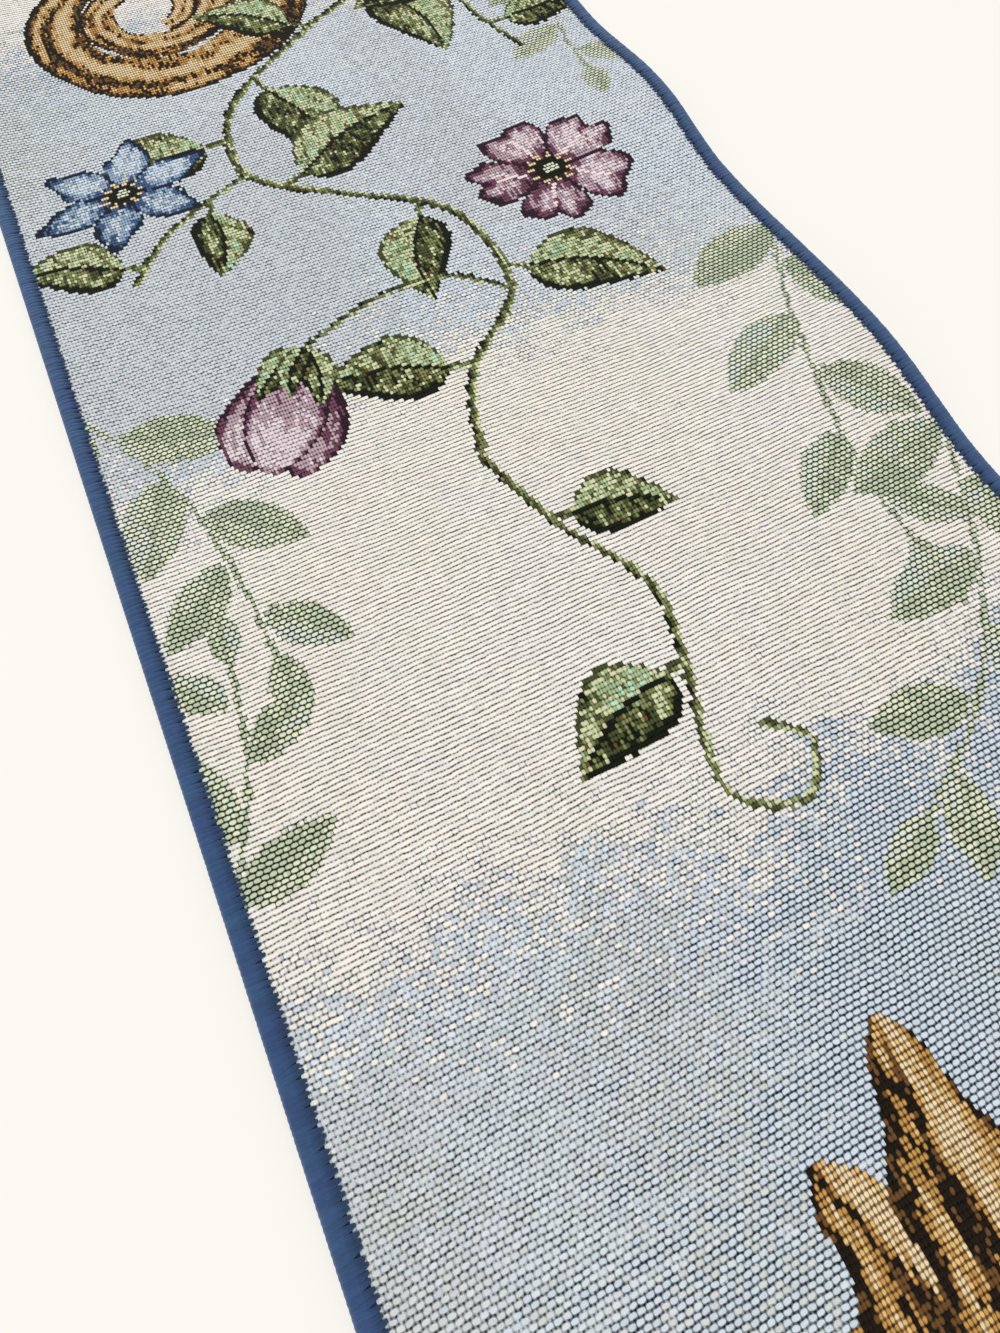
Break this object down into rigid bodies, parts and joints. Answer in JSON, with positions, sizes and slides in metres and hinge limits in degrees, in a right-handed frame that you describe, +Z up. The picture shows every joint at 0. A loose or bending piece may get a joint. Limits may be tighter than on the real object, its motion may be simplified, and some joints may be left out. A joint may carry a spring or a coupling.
{
  "type": "bell pull",
  "caption": "Long narrow strip of woven floral tapestry cloth with thick overlocked edges, lying flat with a softly ruffled side.",
  "frame": {"origin": "middle of the strip, on the surface that it rests on", "axes": "+Z up, out of the face of the cloth; +Y along the strip towards the end that hangs uppermost; +X across it, towards the ruffled side"},
  "size_m": [0.203, 0.914, 0.0064],
  "materials": {
    "tapestry_cloth": "matte woven cotton tapestry, pale blue and ivory with a floral figure in mauve, blue, green and ochre",
    "overlock_thread": "matte fluffy mid-blue thread, sewn in dense loops over the cut edge"
  },
  "bodies": {
    "root": {"cloth": "tapestry_cloth", "edging_right": "overlock_thread", "edging_left": "overlock_thread", "edging_upper_end": "overlock_thread", "edging_lower_end": "overlock_thread"}
  },
  "joints": []
}
